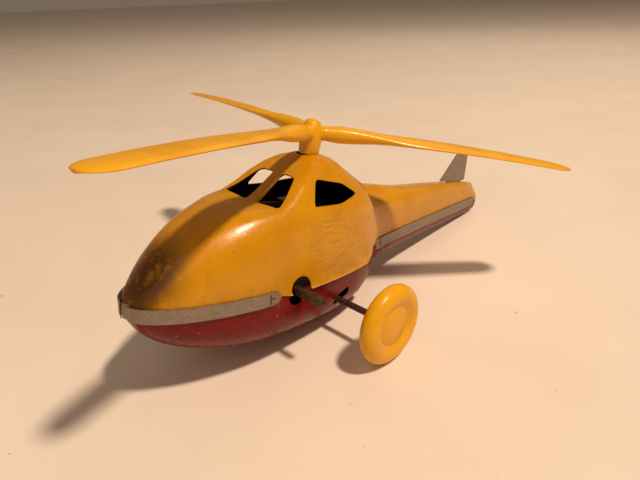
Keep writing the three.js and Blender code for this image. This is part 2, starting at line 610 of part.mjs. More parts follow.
const midArbor = () => rod(MID.x, MID.z, MID.r, -9, 9);
const axle = () => rod(AXLE.x, AXLE.z, AXLE.r, -WHEEL_Y - 1.1, WHEEL_Y + 1.1);

// face gear: a disc with teeth standing up towards the mast's pinion
function crownWheel() {
  const [y0, y1] = LAYER.crown, rMid = TEETH.crown * 0.8 / 3, half = 0.85, tip = LAYER.crownTeeth;
  const parts = [solid(slab(circle(MID.x, MID.z, rMid + half, 48), [], y0, y1))];
  const towards = Math.PI / 2 + MAST_AFT;
  for (let i = 0; i < TEETH.crown; i++) {
    const a = towards + TURN * (i + 0.5) / TEETH.crown;
    const foot = 0.47, crest = 0.17;
    const ringAt = (y, w) => [[-half, -w], [half, -w], [half, w], [-half, w]].map(([r, s]) =>
      new THREE.Vector3(MID.x + (rMid + r) * Math.cos(a) - s * Math.sin(a), y,
        MID.z + (rMid + r) * Math.sin(a) + s * Math.cos(a)));
    parts.push(solid(loft([ringAt(y1 - 0.2, foot), ringAt(tip, crest)])));
  }
  return geometryOf(join(...parts)
    .subtract(solid(slab(circle(MID.x, MID.z, MID.r + PRESSED), [], y0 - 1, y1 + 1))));
}

const mastZ = z => (z - HUB.z) / mastFrame.elements[10];      // height in the body -> along the mast

function mast() {
  return onMast(MAST_R, mastZ(2.45), -0.6);
}

function mastPinion() {
  const step = TURN / TEETH.mast, outline = [], rp = 2.67;
  for (let i = 0; i < TEETH.mast; i++) {
    const mid = -Math.PI / 2 + i * step;
    for (const [r, s] of [[2.05, -0.27], [rp, -0.19], [3.04, -0.09], [3.04, 0.09], [rp, 0.19],
      [2.05, 0.27]])
      outline.push(new THREE.Vector2(r * Math.cos(mid + s * step), r * Math.sin(mid + s * step)));
  }
  const centre = -Math.hypot(HUB.z - MID.z) / Math.cos(MAST_AFT) + TEETH.crown * 0.8 / 3;
  const teeth = new THREE.ExtrudeGeometry(new THREE.Shape(outline), { depth: 3.2, bevelEnabled: false })
    .translate(0, 0, centre - 1.6).applyMatrix4(mastFrame);
  return geometryOf(join(solid(teeth), solid(onMast(1.95, mastZ(3.62), centre - 1.4)))
    .subtract(solid(onMast(MAST_R + PRESSED, -60, -10))));
}

// ---------------------------------------------------------------- motor frame
function motorPlate(side) {
  const outline = rounded([[39, -3.6], [39, 2.4], [26.6, 19.8], [21, 19.9], [-9.4, 15.8], [-11.6, 13],
    [-16.4, -1], [-15, -5], [-4, -14], [6, -16.4], [26, -16.4], [33, -10]], 2.2);
  const holes = [circle(MID.x, MID.z, MID.r + FIT), circle(AXLE.x, AXLE.z, AXLE.r + FIT),
    circle(WINDER.x, WINDER.z, (side > 0 ? WINDER.r : 1.1) + FIT),
    ...Object.values(PILLARS).map(([x, z]) => circle(x, z, 0.75 + PRESSED, 16))];
  const y = side > 0 ? [PLATE_Y, PLATE_Y + PLATE_SHEET] : [-PLATE_Y - PLATE_SHEET, -PLATE_Y];
  const tabs = PLATE_TABS.map(([a, b]) =>
    solid(slab(rounded([[a, -19.9], [b, -19.9], [b, -14], [a, -14]], 0.7), [], ...y)));
  return geometryOf(join(solid(slab(outline, holes, ...y)), ...tabs));
}

function pillar([x, z]) {
  const inner = PLATE_Y - 0.02, tip = PLATE_Y + PLATE_SHEET + 0.3;
  return turned([[0, -tip], [0.75, -tip], [0.75, -inner], [PILLAR_R, -inner], [PILLAR_R, inner],
    [0.75, inner], [0.75, tip], [0, tip]], x, z, 16);
}

function mastBridge() {
  const out = PLATE_Y + PLATE_SHEET + 0.05, sheet = 0.6, z0 = 18.0;
  const part = (x0, x1, y0, y1, low, high) =>
    solid(new THREE.BoxGeometry(x1 - x0, y1 - y0, high - low)
      .translate((x0 + x1) / 2, (y0 + y1) / 2, (low + high) / 2));
  return geometryOf(join(part(-5.2, 3.2, -out - sheet, out + sheet, z0, z0 + sheet),
    part(-5.2, 3.2, out, out + sheet, 12, z0 + 0.1), part(-5.2, 3.2, -out - sheet, -out, 12, z0 + 0.1))
    .subtract(solid(onMast(MAST_R + FIT, mastZ(25), mastZ(12)))));
}

// lower bearing: a strap wrapped round the rear pillar, with a hole for the mast in its free end
function mastFootstep() {
  const [px, pz] = PILLARS.rear, sheet = 0.6, eye = PILLAR_R + 0.04 + sheet / 2, path = [];
  for (let i = 0; i <= 12; i++) {
    const a = (20 - 290 * i / 12) * DEG;
    path.push([px + eye * Math.cos(a), pz + eye * Math.sin(a)]);
  }
  path.push([px + 1.2, 2.1], [px + 2.6, 2.9], [2.6, 2.9]);
  return geometryOf(solid(strip(path, sheet, -3.2, 3.9))
    .subtract(solid(onMast(MAST_R + FIT, mastZ(6), mastZ(0)))));
}

// ---------------------------------------------------------------- assembly
const body = new THREE.Group();
function add(name, geometry, color, metalness, roughness) {
  const mesh = new THREE.Mesh(weld(geometry), material(color, metalness, roughness));
  mesh.name = name;
  body.add(mesh);
}

add('upper_shell', upperShell(), YELLOW, 0.1, 0.35);
add('lower_shell', lowerShell(), RED, 0.1, 0.4);
add('nose_band_port', noseBand(1), TIN, 0.9, 0.45);
add('nose_band_starboard', noseBand(-1), TIN, 0.9, 0.45);
add('boom_band_port', boomBand(1), TIN, 0.9, 0.45);
add('boom_band_starboard', boomBand(-1), TIN, 0.9, 0.45);
add('tail_fin', tailFin(), TIN, 0.9, 0.5);

add('rotor', rotor(), PLASTIC, 0, 0.3);
add('mast', mast(), STEEL, 0.8, 0.5);
add('mast_pinion', mastPinion(), BRASS, 0.9, 0.35);
add('mast_bridge', mastBridge(), TIN, 0.9, 0.5);
add('mast_footstep', mastFootstep(), TIN, 0.9, 0.5);

add('motor_plate_port', motorPlate(1), TIN, 0.9, 0.45);
add('motor_plate_starboard', motorPlate(-1), TIN, 0.9, 0.45);
for (const [name, at] of Object.entries(PILLARS)) add(`pillar_${name}`, pillar(at), STEEL, 0.8, 0.5);

add('winding_arbor', windingArbor(), STEEL, 0.8, 0.55);
add('ratchet_wheel', ratchetWheel(), STEEL, 0.8, 0.5);
add('great_wheel', greatWheel(), BRASS, 0.9, 0.35);
add('click', click(), STEEL, 0.8, 0.5);
add('click_rivet', clickRivet(), BRASS, 0.9, 0.4);
add('click_spring', clickSpring(), STEEL, 0.8, 0.4);
add('mainspring', mainspring(), STEEL, 0.8, 0.35);

add('mid_arbor', midArbor(), STEEL, 0.8, 0.4);
add('mid_pinion', spur(MID, TEETH.midPinion, midPinionPhase, MID.r + PRESSED, ...LAYER.midPinion),
  STEEL, 0.8, 0.4);
add('mid_wheel', spur(MID, TEETH.mid, midPhase, MID.r + PRESSED, ...LAYER.mid), BRASS, 0.9, 0.35);
add('crown_wheel', crownWheel(), BRASS, 0.9, 0.35);

add('axle', axle(), STEEL, 0.8, 0.5);
add('axle_pinion', spur(AXLE, TEETH.axle, axlePhase, AXLE.r + PRESSED, ...LAYER.axlePinion),
  STEEL, 0.8, 0.4);
add('wheel_port', wheel(0).translate(AXLE.x, 0, AXLE.z), PLASTIC, 0, 0.3);
add('wheel_starboard', wheel(0.05).rotateX(Math.PI).translate(AXLE.x, 0, AXLE.z), PLASTIC, 0, 0.3);

// stand the toy on its wheels and tail, with the origin under the middle of its box
body.rotation.y = -PITCH_UP;
const toy = new THREE.Group();
toy.name = 'tin_helicopter';
toy.add(body);
toy.updateMatrixWorld(true);
const box = new THREE.Box3().setFromObject(toy, true);
body.position.set(-(box.min.x + box.max.x) / 2, -(box.min.y + box.max.y) / 2, -box.min.z);
toy.updateMatrixWorld(true);

export default toy;
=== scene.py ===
"""Looks of the clockwork tin helicopter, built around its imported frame. Metres, row frame."""
import json
import math

import bmesh
import bpy
from mathutils import Matrix, Vector
from mathutils.bvhtree import BVHTree


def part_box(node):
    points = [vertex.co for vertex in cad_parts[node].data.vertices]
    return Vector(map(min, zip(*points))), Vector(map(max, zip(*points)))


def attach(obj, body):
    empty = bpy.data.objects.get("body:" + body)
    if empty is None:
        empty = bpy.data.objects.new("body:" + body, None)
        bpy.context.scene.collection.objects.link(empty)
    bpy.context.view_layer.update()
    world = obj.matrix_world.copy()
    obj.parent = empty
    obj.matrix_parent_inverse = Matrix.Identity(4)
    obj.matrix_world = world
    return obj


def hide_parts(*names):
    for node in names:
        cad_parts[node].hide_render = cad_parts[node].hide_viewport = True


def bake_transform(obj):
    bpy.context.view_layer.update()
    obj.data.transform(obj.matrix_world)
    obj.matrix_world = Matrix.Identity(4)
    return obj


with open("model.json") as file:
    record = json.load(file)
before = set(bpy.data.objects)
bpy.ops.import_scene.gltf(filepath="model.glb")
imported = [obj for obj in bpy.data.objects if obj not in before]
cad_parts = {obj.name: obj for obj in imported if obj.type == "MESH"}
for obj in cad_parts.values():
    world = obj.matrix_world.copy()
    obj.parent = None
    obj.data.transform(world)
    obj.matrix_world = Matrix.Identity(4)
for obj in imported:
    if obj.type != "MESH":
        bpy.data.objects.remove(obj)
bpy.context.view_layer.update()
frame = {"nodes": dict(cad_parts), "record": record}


# ---------------------------------------------------------------- places
MM = 0.001
TILT = math.radians(7.6)                 # the body sits nose up in the row frame
AXLE_BELOW = 9.74 * MM                   # the axle's centre under the seam of the shells
AHEAD = Vector((math.cos(TILT), 0, math.sin(TILT)))
UP = Vector((-math.sin(TILT), 0, math.cos(TILT)))
axle_low, axle_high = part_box("axle")
AXLE = (axle_low + axle_high) / 2


def place(x, y, z):
    """Row-frame point of a body-frame one: millimetres ahead of the axle, to port, over the seam."""
    return AXLE + AHEAD * (x * MM) + Vector((0, y * MM, 0)) + UP * (z * MM + AXLE_BELOW)


def body_of(point):
    """The body-frame millimetres of a row-frame point."""
    d = point - AXLE
    return Vector((d.dot(AHEAD), d.y, d.dot(UP) - AXLE_BELOW)) / MM


# ---------------------------------------------------------------- materials
BUMP_DEPTH = 0.05 * MM
COAT_ROUGHNESS = 0.12
SPECULAR = 0.35
SCRATCH_ALONG, SCRATCH_ACROSS = 0.07, 1.6     # the noise's scale along and across a scratch
SCRATCH_FADE = 0.03                           # how far a scratch's edge fades out, in noise levels


class Paint:
    """A node material being built, with its coordinates in body-frame millimetres."""

    def __init__(self, name):
        self.material = bpy.data.materials.new(name)
        self.material.use_nodes = True
        self.tree = self.material.node_tree
        self.tree.nodes.clear()
        output = self.tree.nodes.new("ShaderNodeOutputMaterial")
        self.shader = self.tree.nodes.new("ShaderNodeBsdfPrincipled")
        self.link(self.shader.outputs[0], output.inputs["Surface"])
        coordinates = self.tree.nodes.new("ShaderNodeTexCoord").outputs["Object"]
        turned = self.tree.nodes.new("ShaderNodeMapping")
        turned.inputs["Rotation"].default_value = (0, TILT, 0)
        origin = (-AXLE.dot(AHEAD), -AXLE.y, -AXLE.dot(UP) - AXLE_BELOW)
        turned.inputs["Location"].default_value = origin
        self.link(coordinates, turned.inputs["Vector"])
        scaled = self.tree.nodes.new("ShaderNodeVectorMath")
        scaled.operation = "SCALE"
        scaled.inputs["Scale"].default_value = 1 / MM
        self.link(turned.outputs[0], scaled.inputs[0])
        self.at = scaled.outputs[0]
        self.split = self.tree.nodes.new("ShaderNodeSeparateXYZ")
        self.link(self.at, self.split.inputs[0])
        self.x, self.y, self.z = self.split.outputs

    def link(self, a, b):
        self.tree.links.new(a, b)

    def put(self, socket, value):
        """Feed a socket from another socket or a plain value. None leaves it as it is."""
        if isinstance(value, bpy.types.NodeSocket):
            self.link(value, socket)
        elif value is not None:
            socket.default_value = value

    def math(self, operation, a, b=None, c=None, clamp=False):
        node = self.tree.nodes.new("ShaderNodeMath")
        node.operation, node.use_clamp = operation, clamp
        for socket, value in zip(node.inputs, (a, b, c)):
            self.put(socket, value)
        return node.outputs[0]

    def noise(self, scale, detail=3, rough=0.55, stretch=(1, 1, 1), turn=(0, 0, 0), distortion=0.0):
        mapping = self.tree.nodes.new("ShaderNodeMapping")
        mapping.inputs["Scale"].default_value = stretch
        mapping.inputs["Rotation"].default_value = turn
        self.link(self.at, mapping.inputs["Vector"])
        node = self.tree.nodes.new("ShaderNodeTexNoise")
        node.inputs["Scale"].default_value = scale
        node.inputs["Detail"].default_value = detail
        node.inputs["Roughness"].default_value = rough
        node.inputs["Distortion"].default_value = distortion
        self.link(mapping.outputs[0], node.inputs["Vector"])
        return node.outputs["Fac"]

    def ramp(self, value, low, high, to=(0, 1)):
        """value from low..high, spread smoothly over the two values of to."""
        node = self.tree.nodes.new("ShaderNodeMapRange")
        node.interpolation_type = "SMOOTHSTEP"
        node.inputs["From Min"].default_value, node.inputs["From Max"].default_value = low, high
        node.inputs["To Min"].default_value, node.inputs["To Max"].default_value = to
        self.link(value, node.inputs["Value"])
        return node.outputs[0]

    def near(self, centre, radius, soft=0.5):
        """1 within radius mm of a body-frame point, fading to 0."""
        node = self.tree.nodes.new("ShaderNodeVectorMath")
        node.operation = "DISTANCE"
        self.link(self.at, node.inputs[0])
        node.inputs[1].default_value = centre
        return self.ramp(node.outputs["Value"], radius * (1 - soft), radius, (1, 0))

    def mix(self, factor, a, b):
        node = self.tree.nodes.new("ShaderNodeMix")
        node.data_type = "RGBA"
        self.put(node.inputs["Factor"], factor)
        for socket, value in ((node.inputs["A"], a), (node.inputs["B"], b)):
            self.put(socket, value if isinstance(value, bpy.types.NodeSocket) else (*value, 1))
        return node.outputs["Result"]

    def scratches(self, scale, thin, turns):
        """Sets of fine straight marks, each set lying along its own direction."""
        total = None
        for i, turn in enumerate(turns):
            stretch = (SCRATCH_ALONG, SCRATCH_ACROSS + 0.2 * i, SCRATCH_ACROSS)
            line = self.noise(scale, detail=2, rough=0.4, stretch=stretch, turn=turn, distortion=0.3)
            mark = self.ramp(line, 0.5 + thin, 0.5 + thin + SCRATCH_FADE)
            total = mark if total is None else self.math("MAXIMUM", total, mark)
        return total

    def finish(self, color, metallic, rough, height, strength, coat=0.0, specular=SPECULAR):
        """The material itself, with height as a bump of the given strength."""
        self.put(self.shader.inputs["Base Color"], color)
        self.put(self.shader.inputs["Metallic"], metallic)
        self.put(self.shader.inputs["Roughness"], rough)
        self.shader.inputs["Coat Weight"].default_value = coat
        self.shader.inputs["Coat Roughness"].default_value = COAT_ROUGHNESS
        self.shader.inputs["Specular IOR Level"].default_value = specular
        bump = self.tree.nodes.new("ShaderNodeBump")
        bump.inputs["Strength"].default_value = strength
        bump.inputs["Distance"].default_value = BUMP_DEPTH
        self.link(height, bump.inputs["Height"])
        self.link(bump.outputs[0], self.shader.inputs["Normal"])
        return self.material

    def inner(self, axis_z):
        """1 on faces that look towards the body's own axis, which runs at height axis_z."""
        geometry = self.tree.nodes.new("ShaderNodeNewGeometry")
        turned = self.tree.nodes.new("ShaderNodeVectorTransform")
        turned.vector_type, turned.convert_from, turned.convert_to = "NORMAL", "WORLD", "OBJECT"
        self.link(geometry.outputs["True Normal"], turned.inputs[0])
        tilted = self.tree.nodes.new("ShaderNodeMapping")
        tilted.inputs["Rotation"].default_value = (0, TILT, 0)
        self.link(turned.outputs[0], tilted.inputs["Vector"])
        normal = self.tree.nodes.new("ShaderNodeSeparateXYZ")
        self.link(tilted.outputs[0], normal.inputs[0])
        across = self.math("MULTIPLY", normal.outputs[1], self.y)
        high = self.math("SUBTRACT", self.z, axis_z)
        along = self.math("MULTIPLY", normal.outputs[0], self.math("MULTIPLY", self.x, 0.25))
        outward = self.math("ADD", self.math("MULTIPLY_ADD", normal.outputs[2], high, across), along)
        return self.ramp(outward, -0.6, 0.2, (1, 0))


RUST = (0.16, 0.06, 0.022)
# near-black painted shade for the unlit insides of the shells
INSIDE_SHADE = (0.012, 0.008, 0.006)

# places on the body, in body-frame millimetres
NOSE_TIP = (57, -0.5, 8)
HOOD_FRONT = (52, 3, 15)
PORT_SIDE, STARBOARD_SIDE = (3, 20, 11), (3, -20, 11)
UNDER_NOSE = (41, 6, -15)
UPPER_MIDDLE, LOWER_MIDDLE = 1.0, 0.0         # heights of the shells' own axes over the seam


def yellow_enamel():
    p = Paint("yellow_enamel")
    broad = p.noise(0.06, 3)
    tone = p.mix(p.ramp(broad, 0.35, 0.7), (0.57, 0.25, 0.001), (0.65, 0.3, 0.002))
    grime = p.ramp(p.noise(0.35, 5, 0.65), 0.55, 0.8, (0, 0.35))
    tone = p.mix(grime, tone, (0.28, 0.1, 0.002))
    # age has gone deepest at the tip of the nose
    nose = p.math("MULTIPLY", p.near(NOSE_TIP, 17, 0.7), p.ramp(p.noise(0.22, 5, 0.7), 0.22, 0.5))
    tone = p.mix(p.math("MULTIPLY", nose, 0.9), tone, (0.075, 0.014, 0.002))
    flecks = p.math("MULTIPLY", p.ramp(p.noise(1.5, 3), 0.66, 0.72), p.near(HOOD_FRONT, 9))
    tone = p.mix(flecks, tone, (0.62, 0.42, 0.2))
    low = p.math("MULTIPLY", p.ramp(p.z, 7, 0), p.ramp(p.noise(0.3, 4), 0.4, 0.75))
    tone = p.mix(p.math("MULTIPLY", low, 0.5), tone, (0.3, 0.1, 0.01))
    # scuffs between the side windows and the lip, and fewer elsewhere
    scuffed = p.math("MAXIMUM", p.near(PORT_SIDE, 15, 0.6), p.near(STARBOARD_SIDE, 13, 0.6))
    where = p.math("ADD", p.math("MULTIPLY", scuffed, 0.9), 0.1, clamp=True)
    lines = p.scratches(1.5, 0.135, ((0.2, 0.5, 0.1), (0.1, -0.9, 0.2), (0.3, 1.5, 0.1)))
    marks = p.math("MULTIPLY", lines, where)
    tone = p.mix(p.math("MULTIPLY", marks, 0.5), tone, (0.18, 0.08, 0.01))
    chips = p.math("MULTIPLY", p.ramp(p.noise(0.9, 4, 0.6), 0.66, 0.69), where)
    specks = p.ramp(p.noise(0.75, 2, 0.5), 0.745, 0.765)
    chips = p.math("MAXIMUM", chips, specks)
    tone = p.mix(chips, tone, (0.4, 0.28, 0.13))
    # the lip along the seam has worn pale
    lip = p.math("MULTIPLY", p.ramp(p.z, -0.3, -0.55), p.ramp(p.noise(0.8, 3), 0.3, 0.5))
    tone = p.mix(lip, tone, (0.6, 0.36, 0.08))
    # the inside of the upper shell is painted near black as painted shade
    inside = p.inner(UPPER_MIDDLE)
    tone = p.mix(inside, tone, p.mix(p.noise(0.5, 3), INSIDE_SHADE, (0.03, 0.02, 0.012)))
    sheen = p.ramp(p.noise(0.8, 4), 0.3, 0.75, (0.2, 0.36))
    rough = p.math("ADD", sheen, p.math("MULTIPLY", marks, 0.3))
    rough = p.math("ADD", rough, p.math("MULTIPLY", inside, 0.4), clamp=True)
    waves = p.math("MULTIPLY", p.noise(0.55, 3), 0.8)
    height = p.math("SUBTRACT", waves, p.math("MULTIPLY", marks, 0.6))
    height = p.math("SUBTRACT", height, p.math("MULTIPLY", chips, 0.8))
    return p.finish(tone, p.math("MULTIPLY", chips, 0.5), rough, height, 0.35, coat=0.08)


def red_enamel():
    p = Paint("red_enamel")
    broad = p.noise(0.08, 3)
    tone = p.mix(p.ramp(broad, 0.35, 0.7), (0.16, 0.0015, 0.0015), (0.22, 0.003, 0.0025))
    grime = p.ramp(p.noise(0.4, 5, 0.7), 0.5, 0.8, (0, 0.5))
    tone = p.mix(grime, tone, (0.07, 0.004, 0.003))
    # chips cluster under the nose and along the band
    front = p.near(UNDER_NOSE, 12, 0.6)
    edge = p.math("MULTIPLY", p.ramp(p.z, -5, -2.6), p.ramp(p.x, 20, 30))
    where = p.math("MAXIMUM", front, p.math("MULTIPLY", edge, 0.8))
    chips = p.math("MULTIPLY", p.ramp(p.noise(0.85, 5, 0.65), 0.61, 0.65), where)
    chips = p.math("MAXIMUM", chips, p.ramp(p.noise(0.8, 2, 0.5), 0.745, 0.76))
    tone = p.mix(chips, tone, (0.5, 0.36, 0.28))
    lines = p.math("MULTIPLY", p.scratches(0.9, 0.13, ((0.1, 0.2, 0), (0.2, -0.6, 0.3))), 0.6)
    tone = p.mix(lines, tone, (0.14, 0.03, 0.02))
    # the inside of the lower shell is painted near black as painted shade
    inside = p.inner(LOWER_MIDDLE)
    tone = p.mix(inside, tone, INSIDE_SHADE)
    sheen = p.ramp(p.noise(0.7, 4), 0.3, 0.75, (0.22, 0.42))
    rough = p.math("ADD", sheen, p.math("MULTIPLY", inside, 0.4))
    height = p.math("SUBTRACT", p.math("MULTIPLY", p.noise(0.5, 3), 0.7), chips)
    return p.finish(tone, p.math("MULTIPLY", chips, 0.4), rough, height, 0.35, specular=0.22)


def bare_tin():
    p = Paint("bare_tin")
    streaks = p.noise(0.8, 4, 0.6, (0.25, 1, 1))
    tone = p.mix(p.ramp(streaks, 0.3, 0.7), (0.25, 0.2, 0.155), (0.31, 0.255, 0.205))
    blotch = p.ramp(p.noise(0.25, 5, 0.7), 0.5, 0.75, (0, 0.5))
    tone = p.mix(blotch, tone, (0.24, 0.18, 0.13))
    rust = p.ramp(p.noise(0.55, 6, 0.75), 0.66, 0.75)
    tone = p.mix(rust, tone, RUST)
    lines = p.scratches(1.3, 0.11, ((0, 0.05, 0), (0, -0.4, 0.1)))
    tone = p.mix(p.math("MULTIPLY", lines, 0.3), tone, (0.5, 0.44, 0.37))
    sheen = p.ramp(streaks, 0.25, 0.75, (0.34, 0.52))
    rough = p.math("ADD", sheen, p.math("MULTIPLY", rust, 0.35), clamp=True)
    height = p.math("ADD", p.math("MULTIPLY", streaks, 0.5), p.math("MULTIPLY", rust, 0.7))
    height = p.math("SUBTRACT", height, p.math("MULTIPLY", lines, 0.4))
    metallic = p.math("SUBTRACT", 0.75, p.math("MULTIPLY", rust, 0.7), clamp=True)
    return p.finish(tone, metallic, rough, height, 0.4)


def yellow_plastic():
    p = Paint("yellow_plastic")
    broad = p.noise(0.07, 2)
    tone = p.mix(p.ramp(broad, 0.35, 0.7), (0.76, 0.36, 0.004), (0.84, 0.42, 0.006))
    dirt = p.ramp(p.noise(0.3, 5, 0.7, (1, 1, 2)), 0.58, 0.78, (0, 0.4))
    tone = p.mix(dirt, tone, (0.42, 0.17, 0.015))
    specks = p.ramp(p.noise(0.9, 3, 0.5), 0.73, 0.76, (0, 0.7))
    tone = p.mix(specks, tone, (0.3, 0.13, 0.02))
    lines = p.scratches(1.2, 0.14, ((0.4, 0.1, 0.3), (0.1, 0.2, 1.2)))
    sheen = p.ramp(p.noise(0.6, 4), 0.3, 0.75, (0.24, 0.4))
    rough = p.math("ADD", sheen, p.math("MULTIPLY", lines, 0.2))
    height = p.math("SUBTRACT", p.noise(0.25, 3), p.math("MULTIPLY", lines, 0.3))
    material = p.finish(tone, 0.0, rough, height, 0.3)
    p.shader.inputs["Subsurface Weight"].default_value = 0.12
    p.shader.inputs["Subsurface Radius"].default_value = (1.0, 0.5, 0.15)
    p.shader.inputs["Subsurface Scale"].default_value = 1.2 * MM
    return material


def worked_metal(name, dark, light, metallic, rough, rusty=0.0):
    """A drawn or turned metal. rusty, from 0 to 1, is how wide and how thick its rust has spread."""
    p = Paint(name)
    grain = p.noise(1.6, 4, 0.6, (1, 0.3, 1))
    tone = p.mix(p.ramp(grain, 0.3, 0.7), dark, light)
    rust = p.ramp(p.noise(0.9, 5, 0.7), 0.62 - 0.2 * rusty, 0.75, (0, 0.4 + 0.6 * rusty))
    tone = p.mix(rust, tone, RUST)
    sheen = p.ramp(grain, 0.25, 0.75, (rough - 0.07, rough + 0.1))
    sheen = p.math("ADD", sheen, p.math("MULTIPLY", rust, 0.3))
    metallic = p.math("SUBTRACT", metallic, p.math("MULTIPLY", rust, 0.6), clamp=True)
    return p.finish(tone, metallic, sheen, grain, 0.35)


def floor_paint():
    p = Paint("pale_floor")
    broad = p.noise(0.012, 4)
    tone = p.mix(p.ramp(broad, 0.3, 0.7), (0.82, 0.72, 0.66), (0.86, 0.76, 0.7))
    grit = p.ramp(p.noise(0.35, 2, 0.5), 0.77, 0.79, (0, 0.6))
    tone = p.mix(grit, tone, (0.32, 0.2, 0.13))
    sheen = p.ramp(p.noise(0.05, 4), 0.3, 0.7, (0.5, 0.62))
    return p.finish(tone, 0.0, sheen, p.noise(0.5, 4), 0.12)


SLIT = worked_metal("slit_shadow", (0.02, 0.012, 0.008), (0.05, 0.03, 0.02), 0.2, 0.7, rusty=0.5)
STEEL = worked_metal("steel", (0.2, 0.18, 0.16), (0.34, 0.31, 0.28), 0.9, 0.34)
TIN = bare_tin()
SLOTS = {
    "yellow_enamel": yellow_enamel(),
    "red_enamel": red_enamel(),
    "bare_tin": TIN,
    "yellow_plastic": yellow_plastic(),
    "browned_steel": worked_metal("browned_steel", (0.05, 0.025, 0.014), (0.13, 0.075, 0.045),
                                  0.7, 0.42, rusty=0.6),
    "steel": STEEL,
    "brass": worked_metal("brass", (0.42, 0.26, 0.08), (0.62, 0.42, 0.16), 0.95, 0.28),
}

# ---------------------------------------------------------------- the frame's own nodes
WELD = 2e-6                   # vertices closer than this are one
RECORD = frame["record"]
BODY_OF = {node: body for body, nodes in RECORD["behaviour"]["bodies"].items() for node in nodes}
SLOT_OF = {part["node"]: part["material_slot"] for part in RECORD["subparts"]}

# the sharpest turn, in degrees, that is still shaded smooth
SMOOTH = {"upper_shell": 34, "lower_shell": 34, "rotor": 50, "wheel_port": 40, "wheel_starboard": 40,
          "nose_band_port": 40, "nose_band_starboard": 40, "boom_band_port": 40,
          "boom_band_starboard": 40, "axle": 40, "mast": 40, "winding_arbor": 30}


def dress(obj, material):
    obj.data.materials.clear()
    obj.data.materials.append(material)


def new_object(name, data):
    obj = bpy.data.objects.new(name, data)
    bpy.context.scene.collection.objects.link(obj)
    return obj


def smooth_copy(node, angle):
    """A welded, smooth-shaded piece that stands for a CAD node, in its exact shape."""
    mesh = frame["nodes"][node].data.copy()
    mesh.name = node + "_look"
    work = bmesh.new()
    work.from_mesh(mesh)
    bmesh.ops.remove_doubles(work, verts=work.verts, dist=WELD)
    bmesh.ops.recalc_face_normals(work, faces=work.faces)
    work.to_mesh(mesh)
    work.free()
    if "custom_normal" in mesh.attributes:
        mesh.attributes.remove(mesh.attributes["custom_normal"])
    mesh.polygons.foreach_set("use_smooth", [True] * len(mesh.polygons))
    mesh.set_sharp_from_angle(angle=math.radians(angle))
    piece = new_object(node + "_look", mesh)
    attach(piece, BODY_OF[node])
    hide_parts(node)
    return piece


LOOKS = {}
for node, obj in frame["nodes"].items():
    slot = SLOT_OF[node]
    if node in SMOOTH:
        piece = smooth_copy(node, SMOOTH[node])
        dress(piece, SLOTS[slot])
        LOOKS[node] = piece
    else:
        dress(obj, SLOTS[slot])


def click_leaf():
    """The leaf spring, riveted to the great wheel, as a still copy of its node in steel; its free end,
    which goes up and down with the click, is not moved.
    """
    leaf = new_object("click_leaf", frame["nodes"]["click_spring"].data.copy())
    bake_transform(leaf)
    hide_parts("click_spring")
    dress(leaf, STEEL)


click_leaf()

# ---------------------------------------------------------------- finer pieces
SHARP_TURN = math.radians(40)
FAR_OUT = 60                               # mm to the side, clear of every piece of the body
ARC_STEPS = 8
BAR_SUNK = 0.03 * MM                       # how deep a bar's edges sit in the surface under it

# a lanced mark, in mm: insets from the band's end and heights over the seam
SLIT_INSET = 3.6
SLIT_HEIGHTS = (-1.5, -0.8, 0, 0.8, 1.5)
TONGUE_INSETS = (3.5, 3.0, 2.5, 2.0)
TONGUE_HEIGHT = 0.1
MARK_HALF_WIDTH, MARK_RISE = 0.22 * MM, 0.12 * MM

# the fold at the nose, in mm
FOLD_FOOT, FOLD_TALL, FOLD_STEPS = -2.2, 4.6, 8
FOLD_BULGE = 0.21                          # how far it swells forward halfway up
FOLD_ASIDE = 0.2                           # the joint lies this far to starboard
FOLD_LEAVES = ((-1, 0.55), (1, 0.12))      # each leaf's side, and how far it stands ahead of the bands
FOLD_SECTION = ((0.12, 0.0), (1.5, -0.5), (2.6, -1.5), (2.6, -1.8), (1.5, -0.85), (0.12, -0.35))

TREES = {}


def surface(node, x, z, side):
    """Outermost row-frame point of a node's side at a body-frame x and z, and its normal."""
    if node not in TREES:
        mesh = LOOKS[node].data
        points = [vertex.co for vertex in mesh.vertices]
        TREES[node] = BVHTree.FromPolygons(points, [tuple(face.vertices) for face in mesh.polygons])
    point, normal, _, _ = TREES[node].ray_cast(place(x, side * FAR_OUT, z), Vector((0, -side, 0)))
    return point, normal


def along_body(node):
    """The body-frame x of every vertex of a node's smooth copy."""
    return [body_of(vertex.co).x for vertex in LOOKS[node].data.vertices]


def new_piece(name, work, material):
    """A smooth-shaded piece of the airframe made from a bmesh, which it frees."""
    mesh = bpy.data.meshes.new(name)
    bmesh.ops.recalc_face_normals(work, faces=work.faces)
    work.to_mesh(mesh)
    work.free()
    mesh.polygons.foreach_set("use_smooth", [True] * len(mesh.polygons))
    mesh.set_sharp_from_angle(angle=SHARP_TURN)
    piece = new_object(name, mesh)
    dress(piece, material)
    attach(piece, "airframe")


def skin(work, rings):
    """Closed faces over a row of rings of vertices, with a cap on each end."""
    count = len(rings[0])
    for one, two in zip(rings, rings[1:]):
        for k in range(count):
            after = (k + 1) % count
            work.faces.new((one[k], one[after], two[after], two[k]))
    work.faces.new(rings[0])
    work.faces.new(rings[-1])


def laid_bar(work, points, normals, half_width, rise):
    """A low rounded bar laid along points on a surface."""
    rings = []
    for i, point in enumerate(points):
        along = (points[min(i + 1, len(points) - 1)] - points[max(i - 1, 0)]).normalized()
        out = normals[i].normalized()
        across = along.cross(out).normalized()
        ring = []
        for k in range(ARC_STEPS + 1):
            angle = math.pi * k / ARC_STEPS
            ring.append(work.verts.new(point + across * (half_width * math.cos(angle))
                                       + out * (rise * math.sin(angle) - BAR_SUNK)))
        rings.append(ring)
    skin(work, rings)


